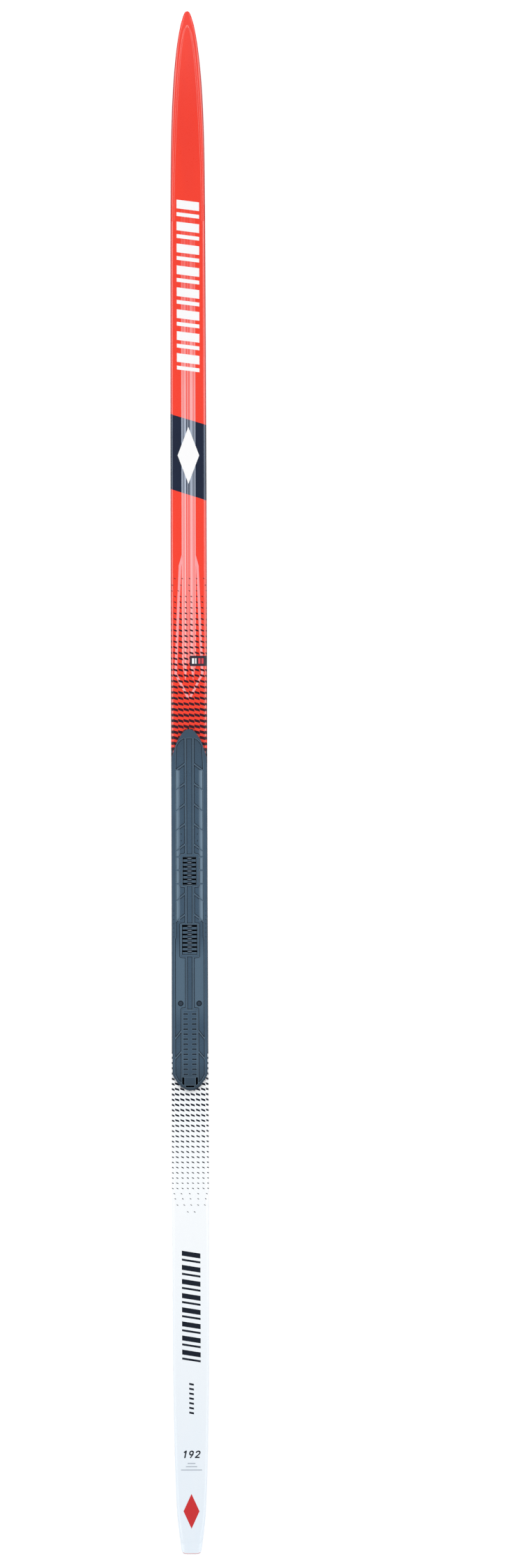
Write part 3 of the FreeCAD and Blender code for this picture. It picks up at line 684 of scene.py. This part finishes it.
# dashes on the white film, shrinking towards the tail
cols = [-25.4, -18.7, -11.2, -3.7, 3.7, 11.2, 18.7, 25.6]
D_W = [(1540, 6.4), (1562, 6.2), (1607, 5.5), (1640, 4.5), (1665, 3.7), (1700, 2.6)]
D_T = [(1540, 3.3), (1562, 3.1), (1607, 2.7), (1640, 2.2), (1665, 1.9), (1700, 1.4)]
shape = []
vv = 1510.4
while vv < 1706:
    w, t = between(vv, D_W), between(vv, D_T)
    shape += [dash(u, vv, w, t, 0.32) for u in cols]
    vv += 7.5
for vv, us in ((1712.9, (-23.1, -12.9, -1.0, 11.1, 23.5)), (1720.3, (-21.8, -11.0, 0.1, 11.1, 21.9)),
               (1729.2, (-18.7, -8.9, 1.0, 10.9, 20.6)), (1739.2, (-3.8, 6.0))):
    shape += [dash(u, vv, 2.1, 1.3, 0.32) for u in us]
drape("dashes_rear", shape, film_material("navy_dash_print", srgb(8, 18, 36), vary=0.06, spec=0.25, coat=0.05), lift=0.06, step=2.5)


def rim(name, s0, s1, y0, y1, material, sides=(-1, 1), lift=0.03, step=4.0, taper=0.0):
    """Narrow strip that follows the ski's outline, between two profile places; it carries print, painted highlight or
    painted shade.

    With a taper (mm) it narrows to nothing towards its tip end.
    """
    verts, faces = [], []
    n = max(1, int(math.ceil((y1 - y0) / step)))
    for sign in sides:
        base = len(verts)
        for i in range(n + 1):
            y = y0 + (y1 - y0) * i / n
            k = min(1.0, (y1 - y) / taper + 0.05) if taper else 1.0
            for s in (s1 - (s1 - s0) * k, s1):
                x = x_of(sign * s, y)
                verts.append((x, y, surf_z(x, y) + lift))
        for i in range(n):
            q = [base + 2 * i, base + 2 * i + 1, base + 2 * i + 3, base + 2 * i + 2]
            faces.append(q if sign > 0 else q[::-1])
    o = mesh_object(name, verts, faces, material)
    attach(o, ROOT)
    return o


# dark rim on both sides of the plate
rim("rim_print_inner", 0.88, 3.0, -334.0, 42.0, film_material("slate_rim_print", srgb(44, 60, 78), vary=0.06), lift=0.02)
rim("rim_print_outer", 3.0, 4.0, -334.0, 42.0, film_material("slate_edge_print", srgb(44, 60, 78), vary=0.06), lift=0.02)
# lines along both edges: a painted highlight on the step, pale on red and steel on the navy band, and painted shade on
# the bevel, dark red or dark navy
pale = film_material("pale_edge_painted_highlight", srgb(255, 140, 134), vary=0.02)
pale_soft = film_material("pale_soft_painted_highlight", srgb(255, 128, 120), vary=0.02)
steel = film_material("steel_edge_painted_highlight", srgb(116, 130, 152), vary=0.03)
dark_red = film_material("dark_bevel_painted_shade", srgb(186, 52, 52), vary=0.04)
dark_navy = film_material("dark_navy_bevel_painted_shade", srgb(14, 22, 38), vary=0.04, spec=0.3)
Y_FULL = 700.0
for sign, tag, s0, s1, lo, hi in ((-1, "left", 1.5, 2.35, 366.0, 459.6), (1, "right", 0.98, 2.3, 352.0, 446.0)):
    side = (sign,)
    rim("edge_line_%s_front" % tag, s0, s1, hi, Y_FULL, pale, sides=side)
    rim("edge_line_%s_band" % tag, s0, s1, lo, hi, steel, sides=side, lift=0.07)
    rim("edge_line_%s_rear" % tag, s0, s1, 58.0, lo, pale, sides=side)
    # painted shade on the edge bevel
    rim("bevel_line_%s_front" % tag, 3.0, 3.97, hi, 948.0, dark_red, sides=side, taper=90.0)
    rim("bevel_line_%s_rear" % tag, 3.0, 3.97, 58.0, lo, dark_red, sides=side)
    rim("bevel_line_%s_band" % tag, 3.0, 3.97, lo, hi, dark_navy, sides=side, lift=0.07)
# painted highlights along the soft step around the raised tip panel and just inside the bevel
rim("arch_line", 0.92, 1.6, Y_FULL, 943.0, pale_soft, lift=0.03, step=3.0)
rim("arch_outer_line", 2.35, 3.0, Y_FULL + 20.0, 942.0, pale_soft, lift=0.03, step=3.0, taper=60.0)

# plain marks on the tail
ink = film_material("ink_print", srgb(8, 20, 36), vary=0.06, spec=0.25, coat=0.05)
bars = []
v = 1797.0 - V0
while v < 1946 - V0:
    bars.append(quad(-12.7, v, 13.9, v + 7.2, 0.16))
    bars.append(quad(-12.7, v + 11.4, 13.9, v + 14.4, 0.16))
    v += 20.4
drape("tail_bars", bars, ink, lift=0.05)
bars = []
for n in range(7):
    bars.append(quad(-2.8, 1986.5 - V0 + 6.9 * n, 3.9, 1989.3 - V0 + 6.9 * n, 0.2))
drape("tail_small_bars", bars, ink, lift=0.05)

# length mark 192, drawn from strokes
def stroke(pts, width, slant, u0, v0):
    out = []
    for (xa, ya), (xb, yb) in zip(pts, pts[1:]):
        dx, dy = xb - xa, yb - ya
        ln = math.hypot(dx, dy)
        nx, ny = -dy / ln * width / 2, dx / ln * width / 2
        ex, ey = dx / ln * width * 0.35, dy / ln * width * 0.35
        q = [(xa - ex + nx, ya - ey + ny), (xb + ex + nx, yb + ey + ny), (xb + ex - nx, yb + ey - ny), (xa - ex - nx, ya - ey - ny)]
        out.append([P(u0 + x - slant * (y - 5.5), v0 + y) for x, y in q])
    return out


def arc(cx, cy, rx, ry, a0, a1, n=10):
    return [(cx + rx * math.cos(math.radians(a0 + (a1 - a0) * i / n)), cy + ry * math.sin(math.radians(a0 + (a1 - a0) * i / n))) for i in range(n + 1)]


digits = []
B = 2083.6 - V0
digits += stroke([(0.6, 2.6), (2.8, 0.9), (2.8, 10.2)], 2.0, 0.2, -11.2, B)
digits += stroke(arc(3.0, 3.6, 2.5, 2.7, 0, 360, 14), 1.8, 0.2, -3.2, B)
digits += stroke([(5.5, 3.6), (5.3, 5.6), (3.0, 10.2)], 1.8, 0.2, -3.2, B)
digits += stroke(arc(3.0, 3.4, 2.6, 2.5, -170, 40, 9) + [(0.6, 9.6)], 1.8, 0.2, 6.2, B)
digits += stroke([(0.4, 9.9), (5.8, 9.9)], 1.9, 0.2, 6.2, B)
drape("length_mark", digits, ink, lift=0.05, step=2.5)

fine = film_material("fine_print", srgb(120, 132, 150), vary=0.05)
bars = []
for v, half, count in ((2102.3, 5.6, 5), (2106.9, 8.0, 8), (2111.6, 15.0, 15)):
    w = 2 * half / count
    for i in range(count):
        bars.append(quad(-half + i * w + 0.3 * w, v - 0.7 - V0, -half + (i + 1) * w - 0.1 * w, v + 0.7 - V0))
drape("tail_fine_lines", bars, fine, lift=0.05)

end_line = film_material("tail_end_print", srgb(226, 150, 142), vary=0.03)
drape("tail_end_line", [[(-7.9, -959.0), (7.9, -959.0), (7.9, -959.55), (-7.9, -959.55)],
                        [(-10.6, -957.4), (-7.9, -958.9), (-7.9, -959.5), (-10.9, -957.9)],
                        [(7.9, -958.9), (10.6, -957.4), (10.9, -957.9), (7.9, -959.5)]], end_line, lift=0.05, step=1.0)
tail_red = film_material("tail_red_print", srgb(204, 38, 42), vary=0.04)
mid = 2171 - V0
drape("tail_lozenge", [[P(0, mid - 25), P(11.5, mid), P(0, mid + 25), P(-11.5, mid)]], tail_red, lift=0.05)


# ------------------------------------------------------------------ CAD finishes
def plastic(name, color, rough, grain, depth, spec=0.5, vary=0.08):
    m, nt, bsdf = new_material(name)
    n = noise(nt, 35.0, 5.0)
    nt.links.new(mix(nt, ramp(nt, n, 0.3, 0.7), shade(color, 1 - vary), shade(color, 1 + vary)), bsdf.inputs["Base Color"])
    nt.links.new(ramp(nt, noise(nt, grain * 0.5, 2.0), 0.3, 0.7, rough - 0.04, rough + 0.04), bsdf.inputs["Roughness"])
    bsdf.inputs["Specular IOR Level"].default_value = spec
    bump(nt, bsdf, noise(nt, grain, 2.0), 0.3, depth)
    return m


def wood(name, dark, pale):
    m, nt, bsdf = new_material(name)
    w = nt.nodes.new("ShaderNodeTexWave")
    w.inputs["Scale"].default_value = 160.0
    w.inputs["Distortion"].default_value = 2.5
    w.inputs["Detail"].default_value = 3.0
    w.inputs["Detail Scale"].default_value = 0.6
    nt.links.new(mapped(nt, (1.0, 0.03, 1.0)), w.inputs["Vector"])
    nt.links.new(mix(nt, w.outputs["Fac"], dark, pale), bsdf.inputs["Base Color"])
    nt.links.new(ramp(nt, noise(nt, 500.0, 2.0), 0.3, 0.7, 0.6, 0.75), bsdf.inputs["Roughness"])
    bump(nt, bsdf, w.outputs["Fac"], 0.3, 0.00005)
    return m


def weave(name, color, second):
    m, nt, bsdf = new_material(name)
    c = nt.nodes.new("ShaderNodeTexChecker")
    c.inputs["Scale"].default_value = 500.0
    nt.links.new(mapped(nt, (1.0, 1.0, 0.0)), c.inputs["Vector"])
    c.inputs["Color1"].default_value = color
    c.inputs["Color2"].default_value = second
    nt.links.new(c.outputs["Color"], bsdf.inputs["Base Color"])
    nt.links.new(ramp(nt, noise(nt, 400.0, 2.0), 0.3, 0.7, 0.35, 0.45), bsdf.inputs["Roughness"])
    bump(nt, bsdf, c.outputs["Fac"], 0.3, 0.00004)
    return m


def fibres(name, color):
    m, nt, bsdf = new_material(name)
    n = noise(nt, 2500.0, 2.0, stretch=(1.0, 0.01, 1.0))
    nt.links.new(mix(nt, ramp(nt, n, 0.35, 0.65), shade(color, 0.7), shade(color, 1.5)), bsdf.inputs["Base Color"])
    nt.links.new(ramp(nt, n, 0.3, 0.7, 0.3, 0.4), bsdf.inputs["Roughness"])
    bump(nt, bsdf, n, 0.3, 0.00003)
    return m


def running_surface(name):
    m, nt, bsdf = new_material(name)
    n = noise(nt, 1400.0, 2.0, stretch=(1.0, 0.004, 1.0))
    nt.links.new(mix(nt, ramp(nt, n, 0.3, 0.7), srgb(24, 24, 26), srgb(40, 40, 43)), bsdf.inputs["Base Color"])
    nt.links.new(ramp(nt, n, 0.3, 0.7, 0.32, 0.45), bsdf.inputs["Roughness"])
    bump(nt, bsdf, n, 0.4, 0.00004)
    return m


def plate_material(name):
    """Moulded slate plastic: satin lands, duller floors, painted shade making the deep slots near-black, and a painted
    highlight on the sloped outer part of the front cells.
    """
    m, nt, bsdf = new_material(name)
    sep = nt.nodes.new("ShaderNodeSeparateXYZ")
    nt.links.new(coords(nt), sep.inputs[0])
    x, y, z = sep.outputs
    grain = noise(nt, 35.0, 5.0)
    speck = noise(nt, 1100.0, 2.0)
    land = mix(nt, ramp(nt, grain, 0.3, 0.7), srgb(50, 74, 95), srgb(56, 82, 103))
    floor_c = mix(nt, ramp(nt, speck, 0.35, 0.65), srgb(47, 71, 92), srgb(57, 84, 105))
    low = ramp(nt, z, 0.0523, 0.0529)
    col = mix(nt, low, floor_c, land)
    # painted highlight: the outer sloped part of each front cell floor is mixed towards a paler slate, standing in for
    # the light it catches
    ax = math_node(nt, "ABSOLUTE", x)
    ramp_x = ramp(nt, ax, 0.0112, 0.0146)
    in_y = math_node(nt, "MULTIPLY", ramp(nt, y, -0.1720, -0.1700), ramp(nt, y, 0.0175, 0.0150))
    over = ramp(nt, z, 0.05285, 0.0528)
    ramp_x = math_node(nt, "MULTIPLY", ramp_x, ramp(nt, ax, 0.0178, 0.0173))
    painted_highlight = math_node(nt, "MULTIPLY", math_node(nt, "MULTIPLY", ramp_x, in_y), over)
    col = mix(nt, math_node(nt, "MULTIPLY", painted_highlight, 0.8), col, srgb(108, 134, 154))
    # painted shade: faces below the slot depth are mixed to near-black, standing in for the shade deep in the slots
    deep = ramp(nt, z, 0.0508, 0.0513)
    above_foot = ramp(nt, ax, 0.0188, 0.0186)
    dark = math_node(nt, "MULTIPLY", math_node(nt, "SUBTRACT", 1.0, deep), above_foot)
    col = mix(nt, dark, col, srgb(8, 14, 22))
    back = math_node(nt, "MULTIPLY", ramp(nt, y, -0.190, -0.215), ramp(nt, y, -0.300, -0.270))
    back = math_node(nt, "MULTIPLY", back, ramp(nt, z, 0.0525, 0.0521))
    back = math_node(nt, "MULTIPLY", back, ramp(nt, ax, 0.0190, 0.0186))
    col = mix(nt, math_node(nt, "MULTIPLY", back, 0.55), col, srgb(88, 113, 132))
    front = ramp(nt, y, 0.020, 0.050, 0.0, 0.3)
    col = mix(nt, front, col, srgb(34, 50, 64))
    rear = ramp(nt, y, -0.345, -0.383, 0.0, 0.85)
    col = mix(nt, rear, col, srgb(24, 42, 56))
    nt.links.new(col, bsdf.inputs["Base Color"])
    nt.links.new(ramp(nt, speck, 0.3, 0.7, 0.36, 0.46), bsdf.inputs["Roughness"])
    bsdf.inputs["Specular IOR Level"].default_value = 0.4
    bump(nt, bsdf, noise(nt, 2200.0, 2.0), 0.3, 0.00003)
    return m


FINISH = {
    "sintered_base": running_surface("sintered_base_ground"),
    "glass_ply": weave("glass_ply_weave", srgb(205, 208, 190), srgb(188, 194, 172)),
    "carbon_ply": fibres("carbon_ply_fibres", srgb(44, 44, 48)),
    "core_light": wood("core_light_wood", srgb(206, 172, 118), srgb(232, 208, 160)),
    "core_dense": wood("core_dense_wood", srgb(150, 108, 66), srgb(188, 146, 96)),
    "sidewall": plastic("sidewall_plastic", srgb(34, 34, 44), 0.45, 1800.0, 0.00004),
    "end_insert": plastic("end_insert_plastic", srgb(38, 36, 44), 0.45, 1800.0, 0.00004),
    "topsheet": film_material("topsheet_under", RED),
    "bond_film": plastic("bond_film_rubber", srgb(34, 36, 40), 0.7, 1200.0, 0.00004, spec=0.3),
    "plate_plastic": plate_material("plate_slate_plastic"),
}
by_node = {s["node"]: s["material_slot"] for s in frame["record"]["subparts"]}
for node_name, obj in NODES.items():
    mat = FINISH[by_node[node_name]]
    obj.data.materials.clear()
    obj.data.materials.append(mat)

# fine shade in the corners and a soft light on the moulded edges of the plate
def plate_contours(obj):
    me = obj.data
    mw = obj.matrix_world
    pts = [mw @ v.co for v in me.vertices]
    dark_v, dark_f, lit_v, lit_f = [], [], [], []
    seen = set()
    for p in me.polygons:
        n = mw.to_3x3() @ p.normal
        if abs(n.z) > 0.08:
            continue
        ids = list(p.vertices)
        zs = [pts[i].z for i in ids]
        z_lo, z_hi = min(zs), max(zs)
        for i, j in zip(ids, ids[1:] + ids[:1]):
            a, b = pts[i], pts[j]
            key = (min(i, j), max(i, j))
            if abs(a.z - b.z) > 2e-5 or (a - b).length < 1e-5 or key in seen:
                continue
            seen.add(key)
            ln = math.hypot(n.x, n.y)
            nx, ny = n.x / ln, n.y / ln
            z = a.z
            if abs(a.y - b.y) < 1e-5 and (abs(a.y - 0.0164) < 2e-4 or abs(a.y + 0.1704) < 2e-4):
                continue
            if z < z_lo + 1e-5 and 0.0510 < z < 0.0526:
                w = 0.00085
                k = len(dark_v)
                for q, e in ((a, 0), (b, 0), (b, w), (a, w)):
                    dark_v.append(((q.x + nx * e) * 1000, (q.y + ny * e) * 1000, (z + 0.00003) * 1000))
                dark_f.append([k, k + 1, k + 2, k + 3])
            elif z > z_hi - 1e-5 and z > 0.0522:
                if z > 0.05299 and abs(a.x) > 0.0186 and abs(b.x) > 0.0186:
                    continue
                w0, w = 0.00006, 0.00036
                k = len(lit_v)
                for q, e in ((a, -w0), (b, -w0), (b, -w), (a, -w)):
                    lit_v.append(((q.x + nx * e) * 1000, (q.y + ny * e) * 1000, (z + 0.00003) * 1000))
                lit_f.append([k, k + 1, k + 2, k + 3])
    return dark_v, dark_f, lit_v, lit_f


def painted_light_patches(name, obj, z_mm, material, y_from=-1.0, y_to=1.0, x_from=-1.0, x_to=1.0, lift=0.03):
    """Thin sheet of painted shade or painted highlight laid on the level faces of the plate at one height."""
    me, mw = obj.data, obj.matrix_world
    verts, faces = [], []
    for p in me.polygons:
        if p.normal.z < 0.99:
            continue
        q = [mw @ me.vertices[i].co for i in p.vertices]
        if any(abs(c.z * 1000 - z_mm) > 0.02 or not y_from <= c.y <= y_to for c in q):
            continue
        if any(abs(c.x) > 0.0205 for c in q) and z_mm < 51:
            continue
        if any(not x_from <= abs(c.x) <= x_to for c in q):
            continue
        k = len(verts)
        verts += [(c.x * 1000, c.y * 1000, c.z * 1000 + lift) for c in q]
        faces.append(list(range(k, k + len(q))))
    if faces:
        o = mesh_object(name, verts, faces, material, smooth=False)
        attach(o, ROOT)
    return len(faces)


PLATE = NODES["binding_plate"]
# painted shade: near-black sheets on the slot and heel seat floors, darker slate sheets on the recessed mould marks
# and scale marks
black = plastic("slot_floor_shade", srgb(5, 9, 15), 0.8, 900.0, 0.00002, spec=0.05)
print("patches", painted_light_patches("slot_floor_front", PLATE, 50.4, black),
      painted_light_patches("heel_seat_floor", PLATE, 51.4, black, -1.0, -0.3640),
      painted_light_patches("mould_mark_floor", PLATE, 51.65, plastic("mould_mark_shade", srgb(34, 50, 66), 0.5, 1500.0, 0.00002, spec=0.3)),
      painted_light_patches("scale_mark_floor", PLATE, 52.7, plastic("scale_mark_shade", srgb(30, 44, 60), 0.5, 1500.0, 0.00002, spec=0.3), x_from=0.0035),
      # painted highlight: paler sheets on the raised ladder block tops
      painted_light_patches("ladder_block_tops", PLATE, 52.7, plastic("ladder_block_painted_highlight", srgb(84, 98, 112), 0.5, 1500.0, 0.00002, spec=0.3), -0.25, -0.09, -1.0, 0.003))
dv, df, lv, lf = plate_contours(PLATE)


def up(verts, faces):
    out = []
    for f in faces:
        area = 0.0
        for a, b in zip(f, f[1:] + f[:1]):
            area += verts[a][0] * verts[b][1] - verts[b][0] * verts[a][1]
        out.append(f if area > 0 else f[::-1])
    return out


if df:
    o = mesh_object("plate_corner_shade", dv, up(dv, df), plastic("plate_corner_shade", srgb(20, 32, 46), 0.6, 1500.0, 0.00002, spec=0.2), smooth=False)
    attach(o, ROOT)
if lf:
    o = mesh_object("plate_edge_light", lv, up(lv, lf), plastic("plate_edge_light", srgb(104, 128, 146), 0.4, 1500.0, 0.00002), smooth=False)
    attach(o, ROOT)

# ------------------------------------------------------------------ stage
bpy.ops.mesh.primitive_plane_add(size=120.0, location=(0, 0, -0.0006))
floor = bpy.context.object
floor.name = "floor"
fm, nt, bsdf = new_material("pale_floor")
bsdf.inputs["Base Color"].default_value = (0.9, 0.9, 0.9, 1)
bsdf.inputs["Roughness"].default_value = 0.9
bsdf.inputs["Specular IOR Level"].default_value = 0.1
bsdf.inputs["Emission Color"].default_value = (1, 1, 1, 1)
bsdf.inputs["Emission Strength"].default_value = 0.55
floor.data.materials.append(fm)

world = bpy.data.worlds.new("studio")
bpy.context.scene.world = world
world.use_nodes = True
wn = world.node_tree
wn.nodes.clear()
wout = wn.nodes.new("ShaderNodeOutputWorld")
bg = wn.nodes.new("ShaderNodeBackground")
wc = wn.nodes.new("ShaderNodeTexCoord")
ws = wn.nodes.new("ShaderNodeSeparateXYZ")
wn.links.new(wc.outputs["Generated"], ws.inputs[0])
wr = wn.nodes.new("ShaderNodeMapRange")
wr.inputs["From Min"].default_value = 0.90
wr.inputs["From Max"].default_value = 0.985
wr.inputs["To Min"].default_value = 0.70
wr.inputs["To Max"].default_value = 0.22
wn.links.new(ws.outputs["Z"], wr.inputs["Value"])
wn.links.new(wr.outputs["Result"], bg.inputs["Strength"])
bg.inputs["Color"].default_value = (1.0, 1.0, 1.0, 1)
wn.links.new(bg.outputs["Background"], wout.inputs["Surface"])


def strip_light(name, x, z, watts, width, length, aim_x=0.0):
    data = bpy.data.lights.new(name, "AREA")
    data.shape = "RECTANGLE"
    data.size = width
    data.size_y = length
    data.energy = watts
    o = bpy.data.objects.new(name, data)
    bpy.context.scene.collection.objects.link(o)
    o.location = (x, 0, z)
    angle = math.atan2(x - aim_x, z)
    o.rotation_euler = (0, angle, 0)
    return o


strip_light("softbox_left", -1.15, 2.3, 17.0, 0.5, 2.8)
strip_light("softbox_right", 1.15, 2.3, 17.0, 0.5, 2.8)

# ------------------------------------------------------------------ camera
cam_data = bpy.data.cameras.new("camera")
cam = bpy.data.objects.new("camera", cam_data)
bpy.context.scene.collection.objects.link(cam)
DIST = 16.0
FRAME_H = 2250 * U / 1000.0
cam_data.type = "PERSP"
cam_data.sensor_fit = "VERTICAL"
cam_data.sensor_height = 36.0
cam_data.sensor_width = 36.0
cam_data.lens = 36.0 * DIST / FRAME_H
cam_data.clip_start = 0.1
cam_data.clip_end = 100.0
ROLL = math.radians(-0.165)
cam.location = (0.0897, -0.0011, DIST + 0.045)
cam.rotation_euler = (0, 0, ROLL)
bpy.context.scene.camera = cam
bpy.context.scene.view_settings.view_transform = "Standard"
bpy.context.scene.view_settings.look = "None"
bpy.context.scene.view_settings.exposure = 0.0
